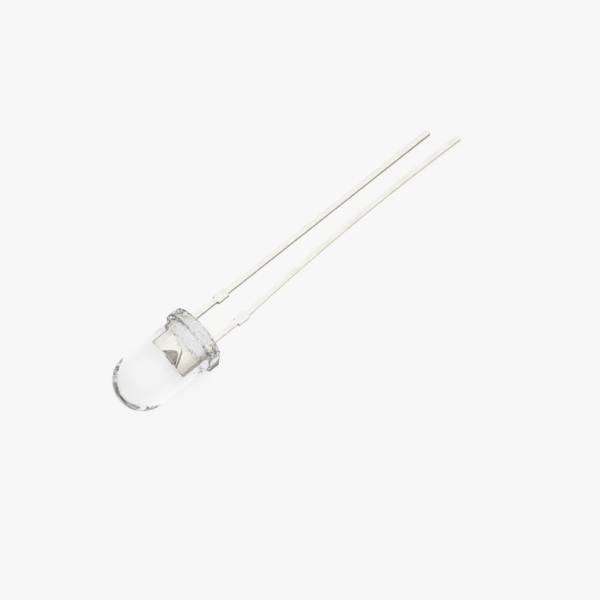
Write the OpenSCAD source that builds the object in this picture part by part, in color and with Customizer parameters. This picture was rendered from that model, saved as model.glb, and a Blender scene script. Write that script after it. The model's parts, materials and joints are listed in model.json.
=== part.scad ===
// Through-hole indicator LED, 5 mm round type, lying on a surface.
//
// Every sub-part is written in the lamp's own frame: +Z runs along the optical axis towards the
// dome, Z = 0 is the flange's rear face, and the two leads stand side by side along Y.
// lie() then turns the whole lamp into the pose in which it comes to rest on a flat surface:
// on the flange's rear rim and the two lead tips. The origin stays on the axis at Z = 0.

/* [Lens] */
// Diameter of the lens barrel and its dome
lens_d = 5.0; // [4.6:0.1:5.4]
// Length from the flange's rear face to the dome's tip
lens_len = 8.6; // [8.2:0.1:9.5]
// Diameter of the flange
flange_d = 5.8; // [5.6:0.1:6.2]
// Thickness of the flange
flange_t = 1.05; // [0.8:0.05:1.3]
// How far the flange's flat stands proud of the barrel
flat_ledge = 0.04; // [0.03:0.01:0.08]
// Radius on the flange's two rims
rim_r = 0.12; // [0.05:0.01:0.2]
// Radius in the corner between barrel and flange
root_r = 0.1; // [0.05:0.01:0.2]
// Width of the flat ring that is left round the dished rear face
seat_w = 0.45; // [0.3:0.05:0.7]
// Depth of the dished rear face
dish_depth = 0.1; // [0.05:0.01:0.15]
// Width of the fillet of resin that creeps up round each lead
creep_w = 0.25; // [0.15:0.05:0.35]

/* [Leads] */
// Thickness of the stamped strip, and so of both leads
strip_t = 0.45; // [0.35:0.05:0.55]
// Width of each lead
lead_w = 0.45; // [0.35:0.05:0.55]
// Distance between the leads' centres at the flange
pitch = 2.54; // [2.3:0.02:2.7]
// Offset of the pair of leads from the optical axis, towards the cup's lead
pair_shift = 0.2; // [0:0.05:0.25]
// Length of the cup's lead behind the flange
cup_lead_len = 26.6; // [20:0.1:27.5]
// Length of the wire post's lead behind the flange
post_lead_len = 28.2; // [27.6:0.1:30]
// Distance from the flange to the cut stubs of the tie bar
stub_start = 3.1; // [1.5:0.05:4]
// Length of each stub along the lead
stub_len = 1.15; // [0.8:0.05:1.5]
// How far each stub stands out from the lead's edge
stub_out = 0.17; // [0.1:0.01:0.3]
// Distance from the flange to the bend in the post's lead
bend_start = 4.5; // [4.3:0.1:8]
// Angle by which that lead is bent inwards, in degrees
bend_angle = 4.3; // [0:0.1:5]
// Radius of the long curve by which that lead straightens again
bend_r = 227; // [180:1:400]

/* [Stamped heads] */
// Height of both heads' front edge above the flange's rear face
head_z = 3.5; // [3.4:0.1:4.2]
// Height of the rounded shoulder in which the cup's lead ends beside the anvil
shoulder_z = 1.85; // [1.8:0.05:2.2]
// Length over which that shoulder narrows from the lead to the anvil
shoulder_len = 0.8; // [0.5:0.05:0.9]
// How far the anvil's outer edge stands in from the lead's
shoulder_in = 0.44; // [0.2:0.01:0.5]
// Height of the anvil's rear edge where it meets the lead
anvil_rear_z = 1.5; // [1.3:0.05:1.6]
// Height of the anvil's rear edge at the slit
anvil_slit_z = 2.2; // [2.0:0.05:2.4]
// Distance from the axis to the anvil's corner at the rear end of the slit
anvil_slit_y = 0.06; // [0:0.01:0.15]
// Width of the slit between the two heads, across the axis
slit_w = 0.14; // [0.12:0.01:0.25]
// Height of the post head's rear corner at the slit
post_slit_z = 1.85; // [1.75:0.05:2.1]
// Distance from the axis to the post head's outer edge at its front
post_out = 1.28; // [1.15:0.01:1.29]
// Radius of the notch between the post's head and its lead
notch_r = 0.75; // [0.5:0.05:0.8]
// How far that notch bites into the lead
notch_bite = 0.16; // [0.05:0.01:0.2]
// Radius on the outer front corner of each head
corner_r = 0.12; // [0.05:0.01:0.2]

/* [Reflector cup] */
// Diameter of the cup's mouth
cup_d = 0.94; // [0.8:0.02:1.0]
// Diameter of the cup's floor
cup_floor_d = 0.58; // [0.54:0.01:0.7]
// Depth of the cup
cup_depth = 0.36; // [0.3:0.01:0.5]
// Thickness of the cup's wall at the mouth
cup_wall = 0.13; // [0.1:0.01:0.15]
// Length over which the cup's swelling tapers into the strip
cup_taper = 1.2; // [0.9:0.05:1.3]

/* [Chip and wire] */
// Side of the square chip
chip_w = 0.3; // [0.25:0.01:0.34]
// Height of the chip
chip_h = 0.13; // [0.1:0.01:0.15]
// Thickness of the adhesive under the chip
glue_t = 0.03; // [0.02:0.005:0.05]
// Width of the adhesive's bead outside the chip's corners
glue_bead = 0.03; // [0.01:0.005:0.04]
// Diameter of the bond wire
wire_d = 0.03; // [0.025:0.005:0.04]
// Diameter of the ball where the wire starts on the chip
ball_d = 0.09; // [0.08:0.01:0.12]
// Height of that ball
ball_h = 0.03; // [0.02:0.005:0.04]
// Length of the flattened stitch where the wire ends on the post
stitch_len = 0.14; // [0.1:0.01:0.2]
// Height of the wire's loop above the heads' front edge
loop_h = 0.3; // [0.2:0.02:0.5]

/* [Hidden] */
$fn = 64;

RESIN = [0.93, 0.94, 0.96, 0.35];
TINNED = [0.86, 0.85, 0.82];
SILVERED = [0.45, 0.42, 0.40];
ADHESIVE = [0.70, 0.70, 0.68];
GOLD = [0.90, 0.72, 0.30];

cut = 1;                                   // run of a cutting shape past the face that it opens
lens_r = lens_d / 2;
flange_r = flange_d / 2;
dome_z = lens_len - lens_r;                // height of the dome's centre
flat_y = lens_r + flat_ledge;              // distance from the axis to the flange's flat
dish_r = flange_r - seat_w;
ledge = flange_r - lens_r;                 // how far the flange stands out from the barrel
ledge_share = 0.45;                        // most of the ledge that either radius may take up
rim = min(rim_r, ledge_share * ledge);
root = min(root_r, ledge_share * ledge);

half_lead = lead_w / 2;
cup_lead_y = -pitch / 2 - pair_shift;      // centre of each lead at the flange
post_lead_y = pitch / 2 - pair_shift;
creep_gap = 0.05;                          // plain ring left between the resin's fillet and the dish
creep_r = min(lead_w + creep_w, dish_r + cup_lead_y - creep_gap);
anvil_out = half_lead - cup_lead_y - shoulder_in;      // from the axis to the anvil's outer edge

cup_r = cup_d / 2;
cup_floor_r = cup_floor_d / 2;
cup_out_r = cup_r + cup_wall;
cup_floor_z = head_z - cup_depth;
taper_r = strip_t / 4;                     // radius to which the cup's swelling narrows, in the strip
slit_lean = (cup_out_r - anvil_slit_y) / (head_z - anvil_slit_z);

glue_r = chip_w / sqrt(2) + glue_bead;
chip_z = cup_floor_z + glue_t;
chip_top_z = chip_z + chip_h;
wire_r = wire_d / 2;
wire_sides = 6;
wire_steps = 18;
wire_fall = 0.55;                          // share of the way to the stitch where the wire turns down
heading_step = 0.01;                       // step along the wire that finds its direction
stitch_y = (cup_out_r + slit_w + post_out) / 2;

// ---- Pose at rest ------------------------------------------------------------------------------
// The resting lamp touches the surface with the flange's rear rim and the lower corner of each
// lead tip. tilt raises the dome and roll raises the longer lead's side until all three are level.

// Sideways place of the longer lead's centre at a given distance behind the flange
function sway(run) =
    let (past = max(0, run - bend_start))
    -past * tan(bend_angle) + past * past / (2 * bend_r);

cup_tip_y = cup_lead_y - half_lead;
post_tip_y = post_lead_y + sway(post_lead_len) - half_lead;

function roll_for(tilt) =
    asin((post_lead_len - cup_lead_len) * tan(tilt) / (post_tip_y - cup_tip_y));

function tilt_for(roll) =
    let (
        drop = flange_r - rim - strip_t / 2 * cos(roll) + cup_tip_y * sin(roll),
        run = cup_lead_len + rim
    )
    atan2(drop, run) + asin(rim / norm([drop, run]));

function settled(roll = 0, rounds = 8) =
    rounds == 0 ? [tilt_for(roll), roll] : settled(roll_for(tilt_for(roll)), rounds - 1);

rest = settled();

module lie() {
    rotate([0, 90 - rest[0], 0]) rotate([0, 0, rest[1]]) children();
}

// ---- Lens --------------------------------------------------------------------------------------

// Half section of the cast lens: barrel, dome and rounded flange
module lens_section() {
    square([lens_r, dome_z]);
    intersection() {
        translate([0, dome_z]) circle(lens_r);
        translate([0, dome_z]) square(lens_r);
    }
    square([flange_r - rim, flange_t]);
    translate([0, rim]) square([flange_r, flange_t - 2 * rim]);
    for (z = [rim, flange_t - rim]) translate([flange_r - rim, z]) circle(rim);
    difference() {
        translate([lens_r, flange_t]) square(root);
        translate([lens_r + root, flange_t + root]) circle(root);
    }
}

// Shallow dish in the rear face, with a fillet of resin left standing round each lead
module rear_dish() {
    difference() {
        translate([0, 0, -cut]) cylinder(h = cut + dish_depth, r = dish_r);
        for (y = [cup_lead_y, post_lead_y])
            translate([0, y, 0])
                cylinder(h = dish_depth, r1 = lead_w, r2 = creep_r);
    }
}

// Everything that the resin is cast round
module cast_in() {
    cup_lead_solid();
    post_lead_solid();
    chip_solid();
    adhesive_solid();
    wire_solid();
}

module lens_body() {
    color(RESIN) lie()
        difference() {
            rotate_extrude() lens_section();
            translate([-flange_d, flat_y, -cut]) cube([2 * flange_d, flange_d, flange_t + 2 * cut]);
            rear_dish();
            cast_in();
        }
}

// ---- Stamped leads -----------------------------------------------------------------------------

// Stands an outline drawn as (Y, Z) up in the plane of the leads, as thick as the strip
module stamped() {
    rotate([90, 0, 90]) linear_extrude(strip_t, center = true) children();
}

// Cut stubs of the tie bar, on both edges of a lead
module stubs(y) {
    translate([y - half_lead - stub_out, -stub_start - stub_len])
        square([lead_w + 2 * stub_out, stub_len]);
}

// Rounds the outline's upper corner at a place, on its outer side (side = -1 or 1)
module round_corner(at, side) {
    centre = at - [side * corner_r, corner_r];
    difference() {
        children();
        difference() {
            translate(centre - [side > 0 ? 0 : corner_r + cut, 0]) square(corner_r + cut);
            translate(centre) circle(corner_r);
        }
    }
}

// Edge of the shoulder in which the cup's lead narrows to the anvil, from the lead upwards
shoulder_steps = 6;
shoulder_bulge = [0.25, 0.67];    // the curve's middle pole, as shares of its step in and its length
function shoulder_point(f) =
    let (
        low = [cup_lead_y - half_lead, shoulder_z - shoulder_len],
        middle = low + [shoulder_in * shoulder_bulge[0], shoulder_len * shoulder_bulge[1]],
        high = [-anvil_out, shoulder_z]
    )
    pow(1 - f, 2) * low + 2 * f * (1 - f) * middle + f * f * high;

module cup_lead_outline() {
    round_corner([-anvil_out, head_z], -1) polygon([
        [cup_lead_y - half_lead, -cup_lead_len],
        for (i = [0 : shoulder_steps]) shoulder_point(i / shoulder_steps),
        [-anvil_out, head_z],
        [cup_out_r, head_z],
        [anvil_slit_y, anvil_slit_z],
        [cup_lead_y + half_lead, anvil_rear_z],
        [cup_lead_y + half_lead, -cup_lead_len]
    ]);
    stubs(cup_lead_y);
}

// Swelling that the punch raises on both faces of the strip round the cup
module cup_swelling() {
    translate([0, 0, head_z - cup_taper]) cylinder(h = cup_taper, r1 = taper_r, r2 = cup_out_r);
}

module cup_recess() {
    translate([0, 0, cup_floor_z]) cylinder(h = cup_depth, r1 = cup_floor_r, r2 = cup_r);
    translate([0, 0, head_z]) cylinder(h = cut, r = cup_r);
}

module cup_lead_solid() {
    difference() {
        union() {
            stamped() cup_lead_outline();
            cup_swelling();
        }
        cup_recess();
    }
}

module cup_lead() {
    color(TINNED) lie() cup_lead_solid();
}

// Edge of the bent lead, side = -1 or 1, as points from the bend to the tip
bend_steps = 12;
function bent_edge(side) = [
    for (i = [0 : bend_steps])
        let (run = bend_start + (post_lead_len - bend_start) * i / bend_steps)
        [post_lead_y + sway(run) + side * half_lead, -run]
];
function reversed(points) = [for (i = [len(points) - 1 : -1 : 0]) points[i]];

module post_lead_outline() {
    notch_y = post_lead_y - half_lead + notch_bite - notch_r;
    notch_z = post_slit_z - notch_r;
    round_corner([post_out, head_z], 1) difference() {
        polygon(concat(
            [
                [post_out, head_z],
                [cup_out_r + slit_w, head_z],
                [cup_out_r + slit_w - (head_z - post_slit_z) * slit_lean, post_slit_z],
                [post_lead_y - half_lead, notch_z]
            ],
            bent_edge(-1),
            reversed(bent_edge(1)),
            [[post_lead_y + half_lead, notch_z]]
        ));
        translate([notch_y, notch_z]) circle(notch_r);
    }
    stubs(post_lead_y);
}

module post_lead_solid() {
    stamped() post_lead_outline();
}

module post_lead() {
    color(TINNED) lie() post_lead_solid();
}

// ---- Chip, adhesive and bond wire --------------------------------------------------------------

module chip_solid() {
    translate([-chip_w / 2, -chip_w / 2, chip_z]) cube([chip_w, chip_w, chip_h]);
}

module chip() {
    color(SILVERED) lie() chip_solid();
}

module adhesive_solid() {
    translate([0, 0, cup_floor_z]) cylinder(h = glue_t, r = glue_r, $fn = 12);
}

module chip_adhesive() {
    color(ADHESIVE) lie() adhesive_solid();
}

// Centre line of the wire as a cubic curve in the plane of the leads: up from the ball, over the
// cup's rim and down to the stitch
wire_from = [0, chip_top_z + ball_h / 2];
wire_to = [stitch_y, head_z + wire_r];
wire_up = [0, head_z + loop_h + cup_depth];
wire_down = [stitch_y * wire_fall, head_z + loop_h + wire_r];
function wire_point(f) =
    pow(1 - f, 3) * wire_from + 3 * pow(1 - f, 2) * f * wire_up
    + 3 * (1 - f) * pow(f, 2) * wire_down + pow(f, 3) * wire_to;
function wire_heading(f) =
    let (way = wire_point(min(1, f + heading_step)) - wire_point(max(0, f - heading_step)))
    f == 0 ? [0, 1] : way / norm(way);
function wire_ring(f) =
    let (at = wire_point(f), way = wire_heading(f))
    [
        for (k = [0 : wire_sides - 1])
            let (side = wire_r * sin(k * 360 / wire_sides), out = wire_r * cos(k * 360 / wire_sides))
            [side, at[0] + out * way[1], at[1] - out * way[0]]
    ];

module wire_run() {
    points = [for (i = [0 : wire_steps]) each wire_ring(i / wire_steps)];
    last = wire_steps * wire_sides;
    walls = [
        for (i = [0 : wire_steps - 1], k = [0 : wire_sides - 1])
            let (
                a = i * wire_sides + k,
                b = i * wire_sides + (k + 1) % wire_sides
            )
            each [[a, b, b + wire_sides], [a, b + wire_sides, a + wire_sides]]
    ];
    ends = [
        [for (k = [wire_sides - 1 : -1 : 0]) k],
        [for (k = [0 : wire_sides - 1]) last + k]
    ];
    polyhedron(points, concat(walls, ends));
}

module wire_solid() {
    translate([0, 0, chip_top_z]) cylinder(h = ball_h, d = ball_d, $fn = 12);
    wire_run();
    translate([-wire_d, stitch_y - wire_r, head_z]) cube([2 * wire_d, stitch_len, wire_r]);
}

module bond_wire() {
    color(GOLD) lie() wire_solid();
}

lens_body();
cup_lead();
post_lead();
chip();
chip_adhesive();
bond_wire();
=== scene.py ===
"""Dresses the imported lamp: clear lens, stamped lead frame, chip, adhesive, bond wire and studio.

Every shape is worked out in the lamp's own frame, in millimetres. The first coordinate is the
depth square to the plane of the leads, and grows downwards when the lamp lies. The second runs
from the cup's lead to the post's lead. The third runs along the optical axis, from zero at the
flange's rear face to the tip of the dome. LampAxes carries such points into the row frame.
"""

import json
import logging
import math
from dataclasses import dataclass, field
from enum import Enum
from typing import Any, ClassVar, Iterable, Sequence

import bmesh
import bpy
import numpy as np
from mathutils import Euler, Matrix, Vector


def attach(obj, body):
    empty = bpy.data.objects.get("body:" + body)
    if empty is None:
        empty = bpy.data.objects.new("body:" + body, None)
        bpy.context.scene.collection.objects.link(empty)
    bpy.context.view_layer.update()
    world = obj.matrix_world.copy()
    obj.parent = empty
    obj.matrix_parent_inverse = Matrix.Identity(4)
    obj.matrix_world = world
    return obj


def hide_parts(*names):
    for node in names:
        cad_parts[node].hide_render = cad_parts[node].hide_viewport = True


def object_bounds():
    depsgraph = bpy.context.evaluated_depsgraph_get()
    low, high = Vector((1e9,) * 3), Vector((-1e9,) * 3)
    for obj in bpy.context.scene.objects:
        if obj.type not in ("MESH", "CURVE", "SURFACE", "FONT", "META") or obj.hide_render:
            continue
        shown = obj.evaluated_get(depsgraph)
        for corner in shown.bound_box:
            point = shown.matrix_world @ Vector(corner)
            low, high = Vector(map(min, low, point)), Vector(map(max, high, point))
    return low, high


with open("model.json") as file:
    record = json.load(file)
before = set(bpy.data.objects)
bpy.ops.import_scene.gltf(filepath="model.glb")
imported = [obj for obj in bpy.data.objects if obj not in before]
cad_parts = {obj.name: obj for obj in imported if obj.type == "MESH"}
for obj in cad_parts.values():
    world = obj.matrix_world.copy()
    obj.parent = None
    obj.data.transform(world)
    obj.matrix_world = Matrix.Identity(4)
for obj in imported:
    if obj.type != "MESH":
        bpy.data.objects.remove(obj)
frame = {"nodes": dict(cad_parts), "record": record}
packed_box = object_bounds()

LOG = logging.getLogger("lamp")
MM = 0.001  # one millimetre in row metres
SAME_PLACE = 1e-7  # row metres within which two vertices are one

Triple = tuple[float, float, float]


class Slot(Enum):
    """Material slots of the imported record."""

    CLEAR_RESIN = "clear_resin"
    TINNED_STEEL = "tinned_steel"
    CHIP = "chip"
    ADHESIVE = "adhesive"
    GOLD_WIRE = "gold_wire"


class Node(Enum):
    """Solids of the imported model."""

    LENS_BODY = "lens_body"
    CUP_LEAD = "cup_lead"
    POST_LEAD = "post_lead"
    CHIP = "chip"
    CHIP_ADHESIVE = "chip_adhesive"
    BOND_WIRE = "bond_wire"


# ---- Frame of the lamp -------------------------------------------------------------------------


@dataclass(frozen=True)
class LampAxes:
    """Origin and unit axes of the lamp's own frame, given in the row frame."""

    origin: np.ndarray
    depth: np.ndarray
    across: np.ndarray
    along: np.ndarray

    @classmethod
    def from_record(cls, record: dict[str, Any]) -> "LampAxes":
        """Finds the lamp's axes from its mounts.

        Args:
            record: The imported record. Its lens_barrel mount points along the optical axis, its seat
                is the origin, and its board_leads mount lies off the axis towards the cup's lead.

        Returns:
            The axes, with depth = across x along.
        """
        mounts = {mount["name"]: mount for mount in record["mounts"]}
        origin = np.array(mounts["seat"]["pos_m"], float)
        along = np.array(mounts["lens_barrel"]["axis"], float)
        along /= np.linalg.norm(along)
        towards_post = origin - np.array(mounts["board_leads"]["pos_m"], float)
        depth = np.cross(towards_post, along)
        depth /= np.linalg.norm(depth)
        return cls(origin, depth, np.cross(along, depth), along)

    @property
    def basis(self) -> np.ndarray:
        """The three unit axes as rows."""
        return np.array([self.depth, self.across, self.along])

    def place(self, points: np.ndarray) -> np.ndarray:
        """Carries lamp points in mm, shape (..., 3), into the row frame in metres."""
        return self.origin + MM * (points @ self.basis)

    def take(self, places: np.ndarray) -> np.ndarray:
        """Carries row points in metres, shape (..., 3), into the lamp's frame in mm."""
        return (places - self.origin) @ self.basis.T / MM

    def turn_back(self) -> Euler:
        """Rotation that turns row directions into lamp directions, for Mapping nodes."""
        return Matrix(self.basis.tolist()).to_euler()


# ---- Surfaces ----------------------------------------------------------------------------------


@dataclass
class Skin:
    """Vertices in lamp mm and the faces that join them."""

    vertices: np.ndarray = field(default_factory=lambda: np.zeros((0, 3)))
    faces: list[Sequence[int]] = field(default_factory=list)

    def add_rings(self, rings: np.ndarray) -> "Skin":
        """Adds a closed tube of rings, as quads, with a fan to a pole at each end.

        A pole stands at the mean of its end's ring.

        Args:
            rings: Shape (rows, columns, 3). Columns run counter-clockwise seen from the last ring.

        Returns:
            This skin, so that calls can follow each other.
        """
        rows, columns = rings.shape[:2]
        first = len(self.vertices)
        index = first + np.arange(rows * columns).reshape(rows, columns)
        after = np.roll(index, -1, axis=1)
        quads = np.stack([index[:-1], after[:-1], after[1:], index[1:]], axis=-1).reshape(-1, 4)
        pole = first + rows * columns
        start = np.stack([after[0], index[0], np.full(columns, pole)], axis=-1)
        end = np.stack([index[-1], after[-1], np.full(columns, pole + 1)], axis=-1)
        self.faces += quads.tolist() + start.tolist() + end.tolist()
        poles = rings[[0, -1]].mean(axis=1)
        self.vertices = np.concatenate([self.vertices, rings.reshape(-1, 3), poles])
        return self

    def make(self, name: str, axes: LampAxes, sharp: float) -> bpy.types.Object:
        """Turns the skin into a smooth-shaded object in the row frame.

        Args:
            name: Name of the object and its mesh.
            axes: The lamp's axes.
            sharp: Edges that turn by more than this many degrees stay sharp.

        Returns:
            The new object, linked to the scene, at the origin.
        """
        mesh = bpy.data.meshes.new(name)
        mesh.from_pydata(axes.place(self.vertices), [], self.faces)
        merge_close(mesh)
        mesh.shade_smooth()
        mesh.set_sharp_from_angle(angle=math.radians(sharp))
        piece = bpy.data.objects.new(name, mesh)
        bpy.context.scene.collection.objects.link(piece)
        return piece


def merge_close(mesh: bpy.types.Mesh) -> None:
    """Merges vertices that stand in one place, which drops the faces without area.

    Args:
        mesh: The mesh, which is changed.
    """
    work = bmesh.new()
    work.from_mesh(mesh)
    bmesh.ops.remove_doubles(work, verts=work.verts, dist=SAME_PLACE)
    work.to_mesh(mesh)
    work.free()


def stretch(start: Sequence[float], end: Sequence[float], steps: int) -> np.ndarray:
    """Points on the straight line from start to end, without the end itself."""
    f = np.linspace(0, 1, steps, endpoint=False)[:, None]
    return np.array(start, float) + f * (np.array(end, float) - np.array(start, float))


def arc(centre: Sequence[float], radius: float, start: float, end: float, steps: int) -> np.ndarray:
    """Points at centre + radius * (cos a, sin a), a from start to end degrees, without the end."""
    a = np.radians(np.linspace(start, end, steps, endpoint=False))
    return np.array(centre, float) + radius * np.stack([np.cos(a), np.sin(a)], axis=-1)


def smooth_step(value: np.ndarray) -> np.ndarray:
    """3 v^2 - 2 v^3 with v held between 0 and 1."""
    v = np.clip(value, 0, 1)
    return v * v * (3 - 2 * v)


def rounded_square(half: float, corner: float, angles: np.ndarray) -> np.ndarray:
    """Outline |x|^p + |y|^p = half^p, where p = 2 half / corner rounds the corners.

    Args:
        half: Half of the side.
        corner: Rough radius of the corners.
        angles: Angles of the outline's points.

    Returns:
        Points of shape (angles, 2).
    """
    power = 2 * half / corner
    c, s = np.cos(angles), np.sin(angles)
    reach = half / (np.abs(c) ** power + np.abs(s) ** power) ** (1 / power)
    return np.stack([reach * c, reach * s], axis=-1)


# ---- Shader graphs -----------------------------------------------------------------------------


class Graph:
    """Adds nodes to one node tree and links them. The nodes are laid out in rows."""

    PER_ROW = 12
    SPACING = (220, -260)

    def __init__(self, tree: bpy.types.NodeTree) -> None:
        """Takes the tree that the nodes go into."""
        self.tree = tree
        self.count = 0

    def add(self, kind: str, inputs: dict[Any, Any] | None = None, **settings: Any) -> bpy.types.Node:
        """Adds one node.

        Args:
            kind: Node class, such as ShaderNodeMath.
            inputs: Values or output sockets by input name or number.
            settings: Plain properties of the node.

        Returns:
            The node.
        """
        node = self.tree.nodes.new(kind)
        row, column = divmod(self.count, self.PER_ROW)
        node.location = (self.SPACING[0] * column, self.SPACING[1] * row)
        self.count += 1
        for key, value in settings.items():
            setattr(node, key, value)
        for key, value in (inputs or {}).items():
            if isinstance(value, bpy.types.NodeSocket):
                self.feed(value, node, key)
            else:
                node.inputs[key].default_value = value
        return node

    def maths(self, operation: str, *values: Any) -> bpy.types.NodeSocket:
        """Output of a Math node on the given values or sockets."""
        return self.add("ShaderNodeMath", dict(enumerate(values)), operation=operation).outputs[0]

    def vectors(self, operation: str, *values: Any) -> bpy.types.NodeSocket:
        """Output of a Vector Math node: a number for DOT_PRODUCT, otherwise a vector."""
        node = self.add("ShaderNodeVectorMath", dict(enumerate(values)), operation=operation)
        return node.outputs["Value" if operation == "DOT_PRODUCT" else "Vector"]

    def noise(
        self, vector: Any, scale: Any, detail: float, roughness: float = 0.5
    ) -> bpy.types.NodeSocket:
        """Noise of a vector, as one number."""
        values = {"Vector": vector, "Scale": scale, "Detail": detail, "Roughness": roughness}
        return self.add("ShaderNodeTexNoise", values).outputs[0]

    def spread(
        self, value: Any, low: float, high: float, to_low: float = 0.0, to_high: float = 1.0
    ) -> bpy.types.NodeSocket:
        """Output of a clamped Map Range from low..high to to_low..to_high."""
        values = {"Value": value, 1: low, 2: high, 3: to_low, 4: to_high}
        return self.add("ShaderNodeMapRange", values).outputs[0]

    def blend(self, share: Any, first: Any, second: Any) -> bpy.types.NodeSocket:
        """Colour that runs from first to second with share. The Mix node's 6 and 7 are colours."""
        node = self.add("ShaderNodeMix", {0: share, 6: first, 7: second}, data_type="RGBA")
        return node.outputs[2]

    def feed(self, source: bpy.types.NodeSocket, node: bpy.types.Node, key: str | int) -> None:
        """Links a socket to a node's input, given by its name or number."""
        self.tree.links.new(source, node.inputs[key])


def new_group(
    name: str, inputs: dict[str, float | None], outputs: Iterable[str]
) -> tuple[Graph, bpy.types.Node, bpy.types.Node]:
    """Starts a shader node group.

    Args:
        name: Name of the group.
        inputs: Input names with their default number, or None for a vector.
        outputs: Names of the number outputs.

    Returns:
        The group's graph, its input node and its output node.
    """
    tree = bpy.data.node_groups.new(name, "ShaderNodeTree")
    for label, value in inputs.items():
        kind = "NodeSocketVector" if value is None else "NodeSocketFloat"
        socket = tree.interface.new_socket(name=label, in_out="INPUT", socket_type=kind)
        if value is not None:
            socket.default_value = value
    for label in outputs:
        tree.interface.new_socket(name=label, in_out="OUTPUT", socket_type="NodeSocketFloat")
    graph = Graph(tree)
    return graph, graph.add("NodeGroupInput"), graph.add("NodeGroupOutput")


class Effects:
    """Surface effects that several finishes share, each built once as a node group."""

    FINE_SCALE = 3.7
    FINE_SHARE = 0.5
    DRAWN_LEVEL = 0.667
    MIDDLE_BAND = (0.35, 0.65)
    PEAKS = (0.4, 0.7)

    def __init__(self) -> None:
        """Builds the groups."""
        self.drawn = self._drawn()
        self.clouds = self._clouds()

    def _drawn(self) -> bpy.types.NodeTree:
        """Fine lines along the third axis: noise of (x, y, z / Stretch), in two sizes.

        Returns:
            The group. Lines runs from 0 to 1. Height is both sizes added, brought back to the
            level of one.
        """
        graph, given, out = new_group(
            "drawn_lines", {"Vector": None, "Lines per mm": 20.0, "Stretch": 30.0}, ["Lines", "Height"]
        )
        squeeze = graph.maths("DIVIDE", 1.0, given.outputs["Stretch"])
        scale = graph.add("ShaderNodeCombineXYZ", {0: 1.0, 1: 1.0, 2: squeeze}).outputs[0]
        drawn = graph.vectors("MULTIPLY", given.outputs["Vector"], scale)
        coarse = graph.noise(drawn, given.outputs["Lines per mm"], detail=3.0, roughness=0.6)
        fine_scale = graph.maths("MULTIPLY", given.outputs["Lines per mm"], self.FINE_SCALE)
        fine = graph.noise(drawn, fine_scale, detail=2.0)
        both = graph.maths("ADD", coarse, graph.maths("MULTIPLY", fine, self.FINE_SHARE))
        height = graph.maths("MULTIPLY", both, self.DRAWN_LEVEL)
        graph.feed(graph.spread(height, *self.MIDDLE_BAND), out, "Lines")
        graph.feed(height, out, "Height")
        return graph.tree

    def _clouds(self) -> bpy.types.NodeTree:
        """Soft blotches from one noise, and fine specks from the peaks of a second, finer one.

        Returns:
            The group. Clouds and Specks both run from 0 to 1.
        """
        graph, given, out = new_group(
            "clouds_and_specks",
            {"Vector": None, "Clouds per mm": 1.5, "Specks per mm": 40.0},
            ["Clouds", "Specks"],
        )
        clouds = graph.noise(given.outputs["Vector"], given.outputs["Clouds per mm"], detail=4.0)
        specks = graph.noise(given.outputs["Vector"], given.outputs["Specks per mm"], detail=2.0)
        graph.feed(graph.spread(clouds, *self.MIDDLE_BAND), out, "Clouds")
        graph.feed(graph.spread(specks, *self.PEAKS), out, "Specks")
        return graph.tree


@dataclass(frozen=True)
class Coat:
    """One material in the making: its Principled BSDF, the lamp coordinates in mm and so on."""

    graph: Graph
    shader: bpy.types.Node
    lamp: bpy.types.NodeSocket
    effects: Effects

    def even(self, **values: Any) -> None:
        """Sets inputs of the shader that are the same all over, with _ for a space."""
        for name, value in values.items():
            self.shader.inputs[name.replace("_", " ")].default_value = value

    def feed(self, name: str, source: bpy.types.NodeSocket) -> None:
        """Links a socket to an input of the shader."""
        self.graph.feed(source, self.shader, name)

    def lines(self, per_mm: float, stretch: float) -> Any:
        """Outputs Lines and Height of the drawn lines."""
        values = {"Vector": self.lamp, "Lines per mm": per_mm, "Stretch": stretch}
        return self.graph.add("ShaderNodeGroup", values, node_tree=self.effects.drawn).outputs

    def marks(self, clouds_per_mm: float, specks_per_mm: float) -> Any:
        """Outputs Clouds and Specks of the soft marks."""
        values = {"Vector": self.lamp, "Clouds per mm": clouds_per_mm, "Specks per mm": specks_per_mm}
        return self.graph.add("ShaderNodeGroup", values, node_tree=self.effects.clouds).outputs

    def emboss(self, height: Any, strength: float, depth: float) -> None:
        """Feeds a height through a Bump node, depth in mm, into the shader's normal."""
        values = {"Height": height, "Strength": strength, "Distance": depth * MM}
        self.feed("Normal", self.graph.add("ShaderNodeBump", values).outputs[0])


@dataclass(frozen=True)
class Finish:
    """What every finish needs: the material's name and the colours that its pattern runs between."""

    name: str
    light: Triple
    dark: Triple

    def build(self, axes: LampAxes, effects: Effects) -> bpy.types.Material:
        """Builds the material.

        Args:
            axes: The lamp's axes, which the pattern follows.
            effects: The shared node groups.

        Returns:
            The new material.
        """
        material = bpy.data.materials.new(self.name)
        material.use_nodes = True
        graph = Graph(material.node_tree)
        place = graph.add("ShaderNodeTexCoord").outputs["Object"]
        turn = {"Vector": place, "Rotation": tuple(axes.turn_back()), "Scale": (1 / MM,) * 3}
        lamp = graph.add("ShaderNodeMapping", turn).outputs[0]
        self.dress(Coat(graph, material.node_tree.nodes["Principled BSDF"], lamp, effects))
        return material

    def dress(self, coat: Coat) -> None:
        """Adds this finish's own nodes. Each finish has its own version."""
        raise NotImplementedError

    def tone(self, coat: Coat, share: bpy.types.NodeSocket) -> bpy.types.NodeSocket:
        """Colour that runs from light to dark with share."""
        return coat.graph.blend(share, (*self.light, 1.0), (*self.dark, 1.0))


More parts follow.
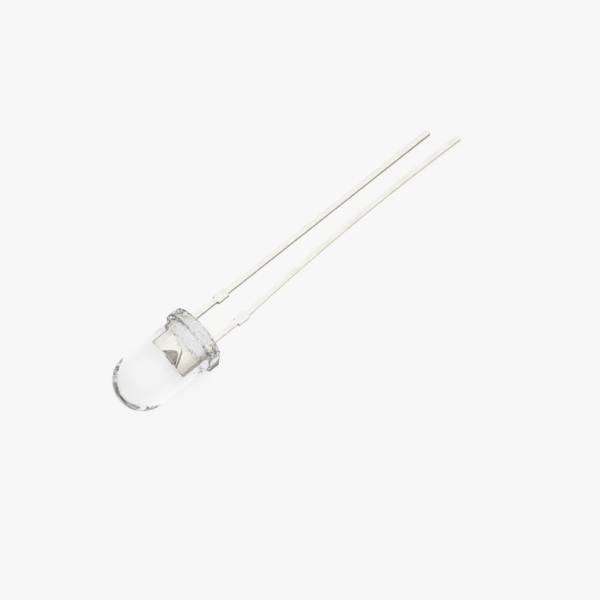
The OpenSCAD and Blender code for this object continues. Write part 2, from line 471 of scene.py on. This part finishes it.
@dataclass(frozen=True)
class ClearResin(Finish):
    """Water-clear cast epoxy: glass-like, with a painted lavender tint of light in the dome, and mould
    ripples round the flange.
    """

    name: str = "clear_resin"
    light: Triple = (1.0, 1.0, 1.0)
    dark: Triple = (0.975, 0.973, 0.985)
    # lavender tint that paints coloured light into the dome
    lavender_tint: Triple = (0.94, 0.935, 0.985)
    lavender_from: float = 5.6
    lavender_to: float = 8.2
    ior: float = 1.56
    clouds_per_mm: float = 0.7
    specks_per_mm: float = 14.0
    smooth: float = 0.004
    rubbed: float = 0.03
    rubbed_from: float = 0.1
    ripples_per_mm: float = 2.8
    ripple_detail: float = 1.5
    ripple_top: float = 1.15
    ripple_end: float = 2.6
    calm: float = 0.03
    relief: float = 1.0
    ripple_depth: float = 0.105

    def dress(self, coat: Coat) -> None:
        """Adds the painted lavender light in the dome, rubbed patches and mould ripples.

        Args:
            coat: The material in the making.
        """
        graph = coat.graph
        coat.even(IOR=self.ior, Transmission_Weight=1.0)
        marks = coat.marks(self.clouds_per_mm, self.specks_per_mm)
        along = graph.add("ShaderNodeSeparateXYZ", {0: coat.lamp}).outputs[2]
        in_dome = graph.spread(along, self.lavender_from, self.lavender_to)
        clear = self.tone(coat, marks["Clouds"])
        # the dome's colour runs to a painted lavender tint of light
        coat.feed("Base Color", graph.blend(in_dome, clear, (*self.lavender_tint, 1.0)))
        both = graph.maths("MULTIPLY", marks["Clouds"], marks["Specks"])
        coat.feed("Roughness", graph.spread(both, self.rubbed_from, 1.0, self.smooth, self.rubbed))
        ripples = graph.noise(coat.lamp, self.ripples_per_mm, self.ripple_detail)
        share = graph.spread(along, self.ripple_top, self.ripple_end, 1.0, self.calm)
        coat.emboss(graph.maths("MULTIPLY", ripples, share), self.relief, self.ripple_depth)


@dataclass(frozen=True)
class TinnedStrip(Finish):
    """Bright tin plate over rolled steel: satin, with lines along the strip. The punch-cut edges are
    painted dark: painted shade, partly the steel showing at the cut.
    """

    name: str = "tinned_strip"
    light: Triple = (0.82, 0.80, 0.735)
    dark: Triple = (0.72, 0.70, 0.635)
    # painted shade of the punch-cut faces, partly the steel showing at the cut
    bare_steel_and_shade: Triple = (0.31, 0.3, 0.275)
    lines_per_mm: float = 9.0
    stretch: float = 14.0
    clouds_per_mm: float = 1.1
    specks_per_mm: float = 26.0
    polished: float = 0.16
    dull: float = 0.36
    dull_from: float = 0.2
    dull_to: float = 1.6
    line_dulling: float = 0.6
    speck_height: float = 0.2
    relief: float = 0.35
    relief_depth: float = 0.012

    def dress(self, coat: Coat) -> None:
        """Adds rolling lines and specks, and the dark tone of the punch-cut faces: painted shade,
        partly the steel showing at the cut.

        Args:
            coat: The material in the making.
        """
        graph = coat.graph
        coat.even(Metallic=1.0)
        lines = coat.lines(self.lines_per_mm, self.stretch)
        marks = coat.marks(self.clouds_per_mm, self.specks_per_mm)
        plate = self.tone(coat, graph.maths("MULTIPLY", lines["Lines"], marks["Clouds"]))
        # the punch-cut faces take the dark colour: painted shade
        sheared_shade = graph.add("ShaderNodeAttribute", attribute_name=LeadFrame.SHEARED_SHADE).outputs["Fac"]
        coat.feed("Base Color", graph.blend(sheared_shade, plate, (*self.bare_steel_and_shade, 1.0)))
        dulling = graph.maths("MULTIPLY", lines["Lines"], self.line_dulling)
        worn = graph.maths("ADD", dulling, marks["Specks"])
        rough = graph.spread(worn, self.dull_from, self.dull_to, self.polished, self.dull)
        coat.feed("Roughness", rough)
        bumps = graph.maths("MULTIPLY", marks["Specks"], self.speck_height)
        coat.emboss(graph.maths("ADD", lines["Height"], bumps), self.relief, self.relief_depth)


@dataclass(frozen=True)
class ChipFace(Finish):
    """Sawn and metallised semiconductor: dark, with fine saw lines and paler blotches."""

    name: str = "chip_face"
    light: Triple = (0.42, 0.40, 0.42)
    dark: Triple = (0.16, 0.15, 0.17)
    metallic: float = 0.4
    lines_per_mm: float = 120.0
    stretch: float = 6.0
    clouds_per_mm: float = 12.0
    specks_per_mm: float = 160.0
    polished: float = 0.18
    dull: float = 0.4
    relief: float = 0.3
    relief_depth: float = 0.002

    def dress(self, coat: Coat) -> None:
        """Adds saw lines and blotches.

        Args:
            coat: The material in the making.
        """
        coat.even(Metallic=self.metallic)
        sawn = coat.lines(self.lines_per_mm, self.stretch)
        marks = coat.marks(self.clouds_per_mm, self.specks_per_mm)
        share = coat.graph.maths("MULTIPLY", sawn["Lines"], marks["Clouds"])
        coat.feed("Base Color", self.tone(coat, share))
        coat.feed("Roughness", coat.graph.spread(marks["Specks"], 0.0, 1.0, self.polished, self.dull))
        coat.emboss(sawn["Height"], self.relief, self.relief_depth)


@dataclass(frozen=True)
class SilverPaste(Finish):
    """Silver-filled adhesive: pale grey, with tiny flakes that catch the light."""

    name: str = "silver_paste"
    light: Triple = (0.82, 0.82, 0.80)
    dark: Triple = (0.52, 0.52, 0.51)
    flakes_per_mm: float = 110.0
    flake_from: float = 0.1
    flake_to: float = 0.7
    binder_metallic: float = 0.3
    clouds_per_mm: float = 14.0
    specks_per_mm: float = 90.0
    polished: float = 0.35
    dull: float = 0.7
    relief: float = 0.5
    relief_depth: float = 0.003

    def dress(self, coat: Coat) -> None:
        """Adds flakes, metallic in the middle and less so between them.

        Args:
            coat: The material in the making.
        """
        graph = coat.graph
        flakes = graph.add("ShaderNodeTexVoronoi", {"Vector": coat.lamp, "Scale": self.flakes_per_mm})
        far = flakes.outputs["Distance"]
        marks = coat.marks(self.clouds_per_mm, self.specks_per_mm)
        coat.feed("Base Color", self.tone(coat, marks["Clouds"]))
        metallic = graph.spread(far, self.flake_from, self.flake_to, 1.0, self.binder_metallic)
        coat.feed("Metallic", metallic)
        coat.feed("Roughness", graph.spread(marks["Specks"], 0.0, 1.0, self.polished, self.dull))
        coat.emboss(far, self.relief, self.relief_depth)


@dataclass(frozen=True)
class DrawnGold(Finish):
    """Drawn gold wire: bright, with faint die lines."""

    name: str = "drawn_gold"
    light: Triple = (1.0, 0.80, 0.38)
    dark: Triple = (0.86, 0.62, 0.24)
    lines_per_mm: float = 200.0
    stretch: float = 20.0
    polished: float = 0.12
    dull: float = 0.28
    relief: float = 0.2
    relief_depth: float = 0.001

    def dress(self, coat: Coat) -> None:
        """Adds die lines in colour, gloss and relief.

        Args:
            coat: The material in the making.
        """
        coat.even(Metallic=1.0)
        lines = coat.lines(self.lines_per_mm, self.stretch)
        coat.feed("Base Color", self.tone(coat, lines["Lines"]))
        coat.feed("Roughness", coat.graph.spread(lines["Lines"], 0.0, 1.0, self.polished, self.dull))
        coat.emboss(lines["Height"], self.relief, self.relief_depth)


@dataclass(frozen=True)
class WhiteTable(Finish):
    """Plain white matt sheet with a very fine grain and a faint glow of its own."""

    name: str = "white_table"
    light: Triple = (0.93, 0.93, 0.93)
    dark: Triple = (0.915, 0.915, 0.915)
    clouds_per_mm: float = 0.25
    specks_per_mm: float = 9.0
    roughness: float = 0.7
    sheen: float = 0.2
    glow: float = 0.45
    relief: float = 0.1
    relief_depth: float = 0.01

    def dress(self, coat: Coat) -> None:
        """Adds faint clouds, the grain and the glow.

        Args:
            coat: The material in the making.
        """
        coat.even(Roughness=self.roughness, Specular_IOR_Level=self.sheen)
        coat.even(Emission_Color=(*self.light, 1.0), Emission_Strength=self.glow)
        marks = coat.marks(self.clouds_per_mm, self.specks_per_mm)
        coat.feed("Base Color", self.tone(coat, marks["Clouds"]))
        coat.emboss(marks["Specks"], self.relief, self.relief_depth)


# ---- Pieces of the lamp ------------------------------------------------------------------------


def seat_piece(
    piece: bpy.types.Object, material: bpy.types.Material, stands_for: Node
) -> None:
    """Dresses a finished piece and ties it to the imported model.

    Args:
        piece: The new object, in place.
        material: Its material.
        stands_for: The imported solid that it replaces.
    """
    piece.data.materials.clear()
    piece.data.materials.append(material)
    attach(piece, "root")
    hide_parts(stands_for.value)
    LOG.info("%s: %d faces, %s", piece.name, len(piece.data.polygons), material.name)


@dataclass
class ClearLens:
    """The cast lens: dished rear face, flange with its flat, barrel and dome, in mm."""

    lens_d: float = 5.0
    lens_len: float = 8.6
    flange_d: float = 5.8
    flange_t: float = 1.05
    flat_ledge: float = 0.04
    rim_r: float = 0.12
    root_r: float = 0.1
    seat_w: float = 0.45
    dish_depth: float = 0.1
    dish_wall: float = 0.08
    creep: float = 0.14
    lead_w: float = 0.45
    lead_centres: tuple[float, float] = (-1.47, 1.07)
    first_ring: float = 0.03
    ring_gap: float = 0.02
    flat_from: float = 0.1
    sharp_angle: float = 22.0
    columns: int = 264
    corner_columns: int = 14
    dish_rings: int = 62
    wall_rings: int = 8
    seat_rings: int = 5
    round_rings: int = 7
    edge_rings: int = 6
    ledge_rings: int = 3
    barrel_rings: int = 14
    dome_rings: int = 66

    @property
    def dish_r(self) -> float:
        """Radius of the dish in the rear face."""
        return self.flange_d / 2 - self.seat_w

    @property
    def flat(self) -> float:
        """Distance of the flange's flat from the optical axis."""
        return self.lens_d / 2 + self.flat_ledge

    def _rear(self) -> np.ndarray:
        """Radii of the rear face's rings.

        Returns:
            The radii, growing, and closer together at the dish's wall.
        """
        wall = self.dish_r - self.dish_wall
        dish = np.linspace(self.first_ring, wall, self.dish_rings, endpoint=False)
        return np.concatenate([dish, np.linspace(wall, self.dish_r, self.wall_rings)])

    def _profile(self) -> np.ndarray:
        """Lines and arcs of the outside, from the seat to the dome's tip.

        Returns:
            Radius and height of each ring, shape (rings, 2).
        """
        barrel, flange = self.lens_d / 2, self.flange_d / 2
        inner, step = flange - self.rim_r, barrel + self.root_r
        front, root = self.flange_t - self.rim_r, self.flange_t + self.root_r
        dome_z = self.lens_len - barrel
        return np.concatenate(
            [
                stretch((self.dish_r + self.ring_gap, 0), (inner, 0), self.seat_rings),
                arc((inner, self.rim_r), self.rim_r, -90, 0, self.round_rings),
                stretch((flange, self.rim_r), (flange, front), self.edge_rings),
                arc((inner, front), self.rim_r, 0, 90, self.round_rings),
                stretch((inner, self.flange_t), (step, self.flange_t), self.ledge_rings),
                arc((step, root), self.root_r, -90, -180, self.round_rings),
                stretch((barrel, root), (barrel, dome_z), self.barrel_rings),
                arc((0, dome_z), barrel, 0, 90, self.dome_rings),
            ]
        )

    def _angles(self) -> np.ndarray:
        """Angles of the columns, with extra ones where the flange's flat meets its round.

        Returns:
            The angles, growing.
        """
        outer = math.asin(self.flat / (self.flange_d / 2))
        inner = math.asin(self.flat / (self.flange_d / 2 - self.rim_r))
        corner = np.linspace(outer, inner, self.corner_columns)
        plain = np.linspace(0, 2 * math.pi, self.columns, endpoint=False)
        sides = (plain > outer) & (plain < math.pi - outer)
        spare = sides & ((plain < inner) | (plain > math.pi - inner))
        return np.sort(np.concatenate([plain[~spare], corner, math.pi - corner]))

    def skin(self) -> Skin:
        """Outer skin of the lens.

        A point at radius r and angle a stands at (r cos a, r sin a). Past the flat, r is held at
        flat / sin a. The rear face is the dish, less dish_depth * exp(-d / creep) round each lead,
        where d is the distance to the lead's square section.

        Returns:
            The closed skin, from the middle of the rear face to the dome's tip.
        """
        angles = self._angles()
        rear, profile = self._rear(), self._profile()
        radius = np.concatenate([rear, profile[:, 0]])[:, None] + 0 * angles
        sine = np.sin(angles)
        held = self.flat / np.maximum(sine, self.flat_from)
        radius = np.minimum(radius, np.where(sine > self.flat_from, held, np.inf))
        x, y = radius * np.cos(angles), radius * sine
        floor = self.dish_depth * smooth_step((self.dish_r - radius[: len(rear)]) / self.dish_wall)
        half = self.lead_w / 2
        creep = np.zeros_like(floor)
        for centre in self.lead_centres:
            dx = np.maximum(np.abs(x[: len(rear)]) - half, 0)
            dy = np.maximum(np.abs(y[: len(rear)] - centre) - half, 0)
            creep = np.maximum(creep, np.exp(-np.hypot(dx, dy) / self.creep))
        z = np.concatenate([floor * (1 - creep), profile[:, 1:] + 0 * angles])
        return Skin().add_rings(np.stack([x, y, z], axis=-1))

    def build(self, axes: LampAxes, resin: bpy.types.Material) -> None:
        """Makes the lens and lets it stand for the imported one."""
        piece = self.skin().make("clear_lens", axes, self.sharp_angle)
        seat_piece(piece, resin, Node.LENS_BODY)


@dataclass
class LeadFrame:
    """The two stamped leads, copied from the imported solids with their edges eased, in mm.

    The edges round the coined cup stay crisp: those nearer the optical axis than crisp_r and
    further along it than crisp_foot.
    """

    SHEARED_SHADE: ClassVar[str] = "sheared_shade"

    cup_edge: float = 0.03
    post_edge: float = 0.015
    segments: int = 3
    sharp_angle: float = 30.0
    level_radians: float = 0.002
    weld: float = 0.002
    crisp_r: float = 0.78
    crisp_foot: float = 1.9
    cup_r: float = 0.5
    cup_foot: float = 3.05
    tilt_limit: float = 0.5
    flat_lean: float = 0.9999
    # how much painted shade each lead's punch-cut faces get, partly for the steel showing at the cut
    cup_shade_and_bareness: float = 1.0
    post_shade_and_bareness: float = 0.65

    def _paint_sheared_shade(self, mesh: bpy.types.Mesh, axes: LampAxes, shade_and_bareness: float) -> None:
        """Marks the faces that the punch cut, as a face attribute that carries their painted shade.

        A face is cut where its normal leans far from the depth, outside the coined cup.

        Args:
            mesh: The merged lead.
            axes: The lamp's axes.
            shade_and_bareness: Value of the cut faces, how strongly their painted shade shows. The
                others are zero.
        """
        count = len(mesh.polygons)
        normal, centre = np.empty(count * 3), np.empty(count * 3)
        mesh.polygons.foreach_get("normal", normal)
        mesh.polygons.foreach_get("center", centre)
        lean = np.abs(normal.reshape(-1, 3) @ axes.depth)
        place = axes.take(centre.reshape(-1, 3))
        in_cup = (np.hypot(place[:, 0], place[:, 1]) < self.cup_r) & (place[:, 2] > self.cup_foot)
        # punch-cut faces get painted shade
        cut = np.where((lean < self.tilt_limit) & ~in_cup, shade_and_bareness, 0.0)
        mesh.attributes.new(self.SHEARED_SHADE, "FLOAT", "FACE").data.foreach_set("value", cut)

    def _weigh_edges(self, work: bmesh.types.BMesh, axes: LampAxes) -> None:
        """Shades the lead smooth up to its sharp edges, and gives the bevel its edges.

        The outline of each flat rolled face stays sharp at any angle. The bevel takes the edges
        sharper than sharp_angle that lie clear of the coined cup.

        Args:
            work: The merged lead.
            axes: The lamp's axes.
        """
        weight = work.edges.layers.float.new("bevel_weight_edge")
        middles = np.array([(edge.verts[0].co + edge.verts[1].co) / 2 for edge in work.edges])
        place = axes.take(middles)
        crisp = (np.hypot(place[:, 0], place[:, 1]) < self.crisp_r) & (place[:, 2] > self.crisp_foot)
        depth = Vector(axes.depth)
        for face in work.faces:
            face.smooth = True
        for edge, near_cup in zip(work.edges, crisp):
            sharp = edge.calc_face_angle(0.0) > math.radians(self.sharp_angle)
            rolled = {abs(face.normal.dot(depth)) > self.flat_lean for face in edge.link_faces}
            edge.smooth = not sharp and len(rolled) == 1
            edge[weight] = float(sharp and not near_cup)

    def _eased(
        self, node: Node, name: str, axes: LampAxes, shade_and_bareness: float, edge: float
    ) -> bpy.types.Object:
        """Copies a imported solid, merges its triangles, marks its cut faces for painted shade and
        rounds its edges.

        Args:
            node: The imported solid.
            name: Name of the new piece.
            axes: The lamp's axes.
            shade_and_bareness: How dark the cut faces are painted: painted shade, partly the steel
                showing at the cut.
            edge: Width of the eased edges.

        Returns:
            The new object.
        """
        mesh = frame["nodes"][node.value].data.copy()
        mesh.name = name
        work = bmesh.new()
        work.from_mesh(mesh)
        bmesh.ops.remove_doubles(work, verts=work.verts, dist=self.weld * MM)
        whole = {"verts": work.verts, "edges": work.edges}
        bmesh.ops.dissolve_limit(work, angle_limit=self.level_radians, **whole)
        bmesh.ops.recalc_face_normals(work, faces=work.faces)
        self._weigh_edges(work, axes)
        work.to_mesh(mesh)
        work.free()
        self._paint_sheared_shade(mesh, axes, shade_and_bareness)
        piece = bpy.data.objects.new(name, mesh)
        bpy.context.scene.collection.objects.link(piece)
        bevel = piece.modifiers.new("eased_edges", "BEVEL")
        bevel.width = edge * MM
        bevel.segments = self.segments
        bevel.limit_method = "WEIGHT"
        bevel.harden_normals = True
        return piece

    def build(self, axes: LampAxes, tin: bpy.types.Material) -> None:
        """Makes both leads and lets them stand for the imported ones."""
        for node, name, shade_and_bareness, edge in (
            (Node.CUP_LEAD, "cup_lead_plated", self.cup_shade_and_bareness, self.cup_edge),
            (Node.POST_LEAD, "post_lead_plated", self.post_shade_and_bareness, self.post_edge),
        ):
            seat_piece(self._eased(node, name, axes, shade_and_bareness, edge), tin, node)


@dataclass
class ChipInCup:
    """The chip on its adhesive at the bottom of the reflector cup, in mm."""

    chip_w: float = 0.3
    chip_h: float = 0.13
    corner: float = 0.03
    floor_z: float = 3.14
    saw_h: float = 0.04
    saw_slope: float = 0.008
    saw_step: float = 0.012
    chamfer: float = 0.008
    inner_rings: tuple[float, float] = (0.06, 0.02)
    glue_t: float = 0.03
    glue_r: float = 0.242
    glue_climb: float = 0.045
    glue_lap: float = 0.005
    glue_thinning: float = 0.96
    waves: tuple[Triple, Triple] = ((3.0, 0.05, 0.7), (5.0, 0.03, 2.1))
    glue_rings: int = 14
    core_share: float = 0.4
    foot_share: float = 0.3
    columns: int = 64
    chip_sharp: float = 25.0
    glue_sharp: float = 50.0

    def _angles(self) -> np.ndarray:
        """Angles of the columns."""
        return np.linspace(0, 2 * math.pi, self.columns, endpoint=False)

    def chip_skin(self) -> Skin:
        """Stack of rounded squares: sawn foot, saw step, upper body and chamfered top.

        Returns:
            The closed skin of the chip.
        """
        half, upper = self.chip_w / 2, self.chip_w / 2 - self.saw_step
        foot = self.floor_z + self.glue_t
        saw, top = foot + self.saw_h, foot + self.chip_h
        levels = [(foot, half), (saw, half), (saw + self.saw_slope, upper), (top - self.chamfer, upper)]
        levels += [(top, size) for size in (upper - self.chamfer, *self.inner_rings)]
        rings = []
        for z, size in levels:
            square = rounded_square(size, self.corner * size / half, self._angles())
            rings.append(np.column_stack([square, np.full(self.columns, z)]))
        return Skin().add_rings(np.array(rings))

    def glue_skin(self) -> Skin:
        """Fillet that falls from the chip's sides to a round edge.

        At share f of the way out, the outline is (1 - f) * square + f * wavy circle, and its
        height is glue_climb * (1 - f)^2 above the paste's own thickness, which also fades at the
        edge. The circle's radius has the waves amount * cos(count * angle + start).

        Returns:
            The closed skin of the bead.
        """
        angles = self._angles()
        square = rounded_square(self.chip_w / 2 - self.glue_lap, self.corner, angles)
        wave = np.ones_like(angles)
        for count, amount, start in self.waves:
            wave += amount * np.cos(count * angles + start)
        reach = (self.glue_r * wave / wave.max())[:, None]
        circle = reach * np.stack([np.cos(angles), np.sin(angles)], axis=-1)
        f = np.linspace(0, 1, self.glue_rings)[:, None, None]
        flat = (1 - f) * square + f * circle
        own = self.glue_t * np.sqrt(1 - self.glue_thinning * f**2)
        rise = self.glue_climb * (1 - f) ** 2 + own
        z = self.floor_z + np.broadcast_to(rise, (*flat.shape[:2], 1))
        top = np.concatenate([flat, z], axis=-1)
        foot = np.concatenate([circle, np.full((self.columns, 1), self.floor_z)], axis=-1)[None]
        core = top[:1] * np.array([self.core_share, self.core_share, 1.0])
        heart = foot * np.array([self.foot_share, self.foot_share, 1.0])
        return Skin().add_rings(np.concatenate([heart, foot, top[::-1], core]))

    def build(self, axes: LampAxes, face: bpy.types.Material, paste: bpy.types.Material) -> None:
        """Makes the chip and its adhesive.

        Args:
            axes: The lamp's axes.
            face: Material of the chip.
            paste: Material of the adhesive.
        """
        chip = self.chip_skin().make("sawn_chip", axes, self.chip_sharp)
        seat_piece(chip, face, Node.CHIP)
        bead = self.glue_skin().make("silver_bead", axes, self.glue_sharp)
        seat_piece(bead, paste, Node.CHIP_ADHESIVE)


@dataclass
class BondWire:
    """The gold wire from the chip to the post, with its ball, loop and stitch, in mm."""

    wire_d: float = 0.03
    ball_d: float = 0.09
    ball_h: float = 0.034
    chip_top: float = 3.3
    post_top: float = 3.5
    stitch_y: float = 1.01
    stitch_len: float = 0.14
    loop_h: float = 0.3
    cup_depth: float = 0.36
    fall: float = 0.55
    stitch_sink: float = 0.005
    stitch_from: float = 0.02
    pressed_spread: float = 0.9
    pressed_thinning: float = 0.66
    press_lead: int = 4
    press_steps: int = 10
    steps: int = 90
    stitch_steps: int = 14
    sides: int = 16
    ball_angles: tuple[float, float] = (-80.0, 62.0)
    ball_rings: int = 12
    ball_fullness: float = 0.6
    neck_h: float = 0.03
    neck_draws: tuple[float, ...] = (0.8, 0.75, 0.85, 1.0)
    sharp_angle: float = 60.0

    def _path(self) -> tuple[np.ndarray, np.ndarray]:
        """Centre line in the plane of the leads.

        The first part is the cubic (1-f)^3 a + 3 (1-f)^2 f b + 3 (1-f) f^2 c + f^3 d from the
        ball to the post. The last is the stitch, which sinks on to the post.

        Returns:
            Points and unit directions as (across, along), each of shape (rings, 2).
        """
        radius = self.wire_d / 2
        a = np.array([0, self.chip_top + self.ball_h / 2])
        b = np.array([0, self.post_top + self.loop_h + self.cup_depth])
        c = np.array([self.stitch_y * self.fall, self.post_top + self.loop_h + radius])
        d = np.array([self.stitch_y, self.post_top + radius])
        f = np.linspace(0, 1, self.steps)[:, None]
        curve = (1 - f) ** 3 * a + 3 * (1 - f) ** 2 * f * b + 3 * (1 - f) * f**2 * c + f**3 * d
        run = np.linspace(self.stitch_from, 1, self.stitch_steps)[:, None]
        drop = np.array([0.0, -1.0]) * (radius - self.stitch_sink) * smooth_step(run)
        stitch = d + run * np.array([self.stitch_len, 0]) + drop
        line = np.concatenate([curve, stitch])
        way = np.gradient(line, axis=0)
        return line, way / np.linalg.norm(way, axis=1)[:, None]

    def skin(self) -> Skin:
        """Wire and ball in one skin."""
        turn = np.linspace(0, 2 * math.pi, self.sides, endpoint=False)
        return Skin().add_rings(self._wire(turn)).add_rings(self._ball(turn))

    def _wire(self, turn: np.ndarray) -> np.ndarray:
        """Rings of the wire.

        The section is an ellipse of half width w and half height h square to the path. In the
        stitch, w grows by pressed_spread radii while h falls by pressed_thinning.

        Args:
            turn: Angles of a ring's points.

        Returns:
            Rings of shape (rings, angles, 3).
        """
        line, way = self._path()
        radius = self.wire_d / 2
        step = np.arange(len(line)) - (self.steps - self.press_lead)
        pressed = smooth_step(step / self.press_steps)[:, None]
        side = radius * (1 + self.pressed_spread * pressed) * np.cos(turn)
        out = radius * (1 - self.pressed_thinning * pressed) * np.sin(turn)
        return np.stack([side, line[:, :1] + out * way[:, 1:], line[:, 1:] - out * way[:, :1]], axis=-1)

    def _ball(self, turn: np.ndarray) -> np.ndarray:
        """Rings of the ball and the neck above it, a turned profile.

        At the angle b, the ball's radius is ball_d / 2 * (cos b)^ball_fullness and its height
        ball_h / 2 * sin b. The neck runs on to the wire's radius, drawn in by neck_draws.

        Args:
            turn: Angles of a ring's points.

        Returns:
            Rings of shape (rings, angles, 3).
        """
        bulge = np.radians(np.linspace(*self.ball_angles, self.ball_rings))
        ball_r = (self.ball_d / 2) * np.cos(bulge) ** self.ball_fullness
        heights = self.chip_top + self.ball_h / 2 + self.ball_h / 2 * np.sin(bulge)
        steps = len(self.neck_draws) + 1
        neck_z = np.linspace(heights[-1], heights[-1] + self.neck_h, steps)[1:]
        neck_r = np.linspace(ball_r[-1], self.wire_d / 2, steps)[1:] * np.array(self.neck_draws)
        radii = np.concatenate([ball_r, neck_r])[:, None]
        levels = np.concatenate([heights, neck_z])[:, None]
        return np.stack([radii * np.cos(turn), radii * np.sin(turn), levels + 0 * turn], axis=-1)

    def build(self, axes: LampAxes, gold: bpy.types.Material) -> None:
        """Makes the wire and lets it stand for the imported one."""
        piece = self.skin().make("gold_bond_wire", axes, self.sharp_angle)
        seat_piece(piece, gold, Node.BOND_WIRE)


# ---- Studio ------------------------------------------------------------------------------------


@dataclass
class Studio:
    """Table, surrounding light, camera and tone curve, in metres and degrees."""

    ALL_CHANNELS: ClassVar[int] = 3

    floor_size: float = 1.6
    floor_lines: int = 9
    floor_gap: float = 2e-6
    azimuth: float = 130.47
    elevation: float = 73.64
    distance: float = 0.48913
    aim: Triple = (-0.008261, 0.003026, 0.0)
    roll: float = 8.80
    focal_mm: float = 360.0
    sensor_mm: float = 36.0
    clip: tuple[float, float] = (0.001, 10.0)
    fill: float = 0.36
    backdrop: float = 1.1
    backdrop_full: float = 0.05
    backdrop_end: float = 0.2
    key_way: Triple = (0.0, -0.1, 0.98)
    key_squeeze: float = 0.4
    key_glow: float = 1.57
    key_core: float = 15.0
    key_edge: float = 55.0
    white: float = 1.25
    tone_curve: tuple[tuple[float, float], ...] = (
        (0.0, 0.0), (0.2, 0.12), (0.45, 0.4), (0.7, 0.74), (0.85, 0.88), (1.0, 0.93)
    )

    def floor(self, table: bpy.types.Material) -> None:
        """Lays a flat grid just under the lamp's lowest point.

        Args:
            table: Material of the table.
        """
        low = packed_box[0].z - self.floor_gap
        line = np.linspace(-self.floor_size / 2, self.floor_size / 2, self.floor_lines)
        x, y = np.meshgrid(line, line)
        corners = np.stack([x.ravel(), y.ravel(), np.full(x.size, low)], axis=-1)
        index = np.arange(x.size).reshape(x.shape)
        faces = np.stack([index[:-1, :-1], index[:-1, 1:], index[1:, 1:], index[1:, :-1]], axis=-1)
        mesh = bpy.data.meshes.new("table_top")
        mesh.from_pydata(corners, [], faces.reshape(-1, 4).tolist())
        mesh.materials.append(table)
        sheet = bpy.data.objects.new("table_top", mesh)
        bpy.context.scene.collection.objects.link(sheet)

    def surround(self) -> None:
        """Lights the scene with a tent: a pale backdrop low down, a dimmer wall and a wide soft key."""
        world = bpy.data.worlds.new("soft_tent")
        world.use_nodes = True
        bpy.context.scene.world = world
        graph = Graph(world.node_tree)
        glow = world.node_tree.nodes["Background"]
        direction = graph.add("ShaderNodeTexCoord").outputs["Generated"]
        parts = graph.add("ShaderNodeSeparateXYZ", {0: direction}).outputs
        rise = graph.spread(parts[2], self.backdrop_full, self.backdrop_end)
        wall = graph.blend(rise, (self.backdrop,) * 3 + (1.0,), (self.fill,) * 3 + (1.0,))
        squeezed = graph.vectors("MULTIPLY", direction, (1.0, self.key_squeeze, 1.0))
        unit = graph.vectors("NORMALIZE", squeezed)
        towards = graph.vectors("DOT_PRODUCT", unit, Vector(self.key_way).normalized())
        edge, core = (math.cos(math.radians(angle)) for angle in (self.key_edge, self.key_core))
        share = graph.spread(towards, edge, core)
        graph.feed(graph.blend(share, wall, (self.key_glow,) * 3 + (1.0,)), glow, "Color")

    def camera(self) -> None:
        """Stands the camera nearly overhead, distance back along its azimuth and elevation."""
        a, e, r = (math.radians(v) for v in (self.azimuth, self.elevation, self.roll))
        back = Vector((math.sin(a) * math.cos(e), -math.cos(a) * math.cos(e), math.sin(e)))
        right = Vector((math.cos(a), math.sin(a), 0))
        up = back.cross(right)
        right, up = right * math.cos(r) + up * math.sin(r), up * math.cos(r) - right * math.sin(r)
        data = bpy.data.cameras.new("camera")
        data.lens = self.focal_mm
        data.sensor_width = self.sensor_mm
        data.clip_start, data.clip_end = self.clip
        camera = bpy.data.objects.new("camera", data)
        turned = Matrix((right, up, back)).transposed().to_4x4()
        camera.matrix_world = Matrix.Translation(Vector(self.aim) + self.distance * back) @ turned
        bpy.context.scene.collection.objects.link(camera)
        bpy.context.scene.camera = camera

    def tone(self) -> None:
        """Sets a bright, soft tone curve: light of strength white becomes the curve's last value."""
        settings = bpy.context.scene.view_settings
        settings.view_transform = "Standard"
        settings.use_curve_mapping = True
        settings.curve_mapping.white_level = (self.white,) * 3
        settings.curve_mapping.extend = "HORIZONTAL"
        points = settings.curve_mapping.curves[self.ALL_CHANNELS].points
        points[0].location, points[1].location = self.tone_curve[0], self.tone_curve[-1]
        for place in self.tone_curve[1:-1]:
            points.new(*place)
        settings.curve_mapping.update()

    def build(self, table: bpy.types.Material) -> None:
        """Sets the whole studio up.

        Args:
            table: Material of the table.
        """
        self.floor(table)
        self.surround()
        self.camera()
        self.tone()


def main() -> None:
    """Builds the lamp and its studio in order."""
    logging.basicConfig(level=logging.INFO, format="%(name)s: %(message)s")
    axes = LampAxes.from_record(frame["record"])
    effects = Effects()
    ClearLens().build(axes, ClearResin().build(axes, effects))
    LeadFrame().build(axes, TinnedStrip().build(axes, effects))
    ChipInCup().build(axes, ChipFace().build(axes, effects), SilverPaste().build(axes, effects))
    BondWire().build(axes, DrawnGold().build(axes, effects))
    Studio().build(WhiteTable().build(axes, effects))


if __name__ == "__main__":
    main()
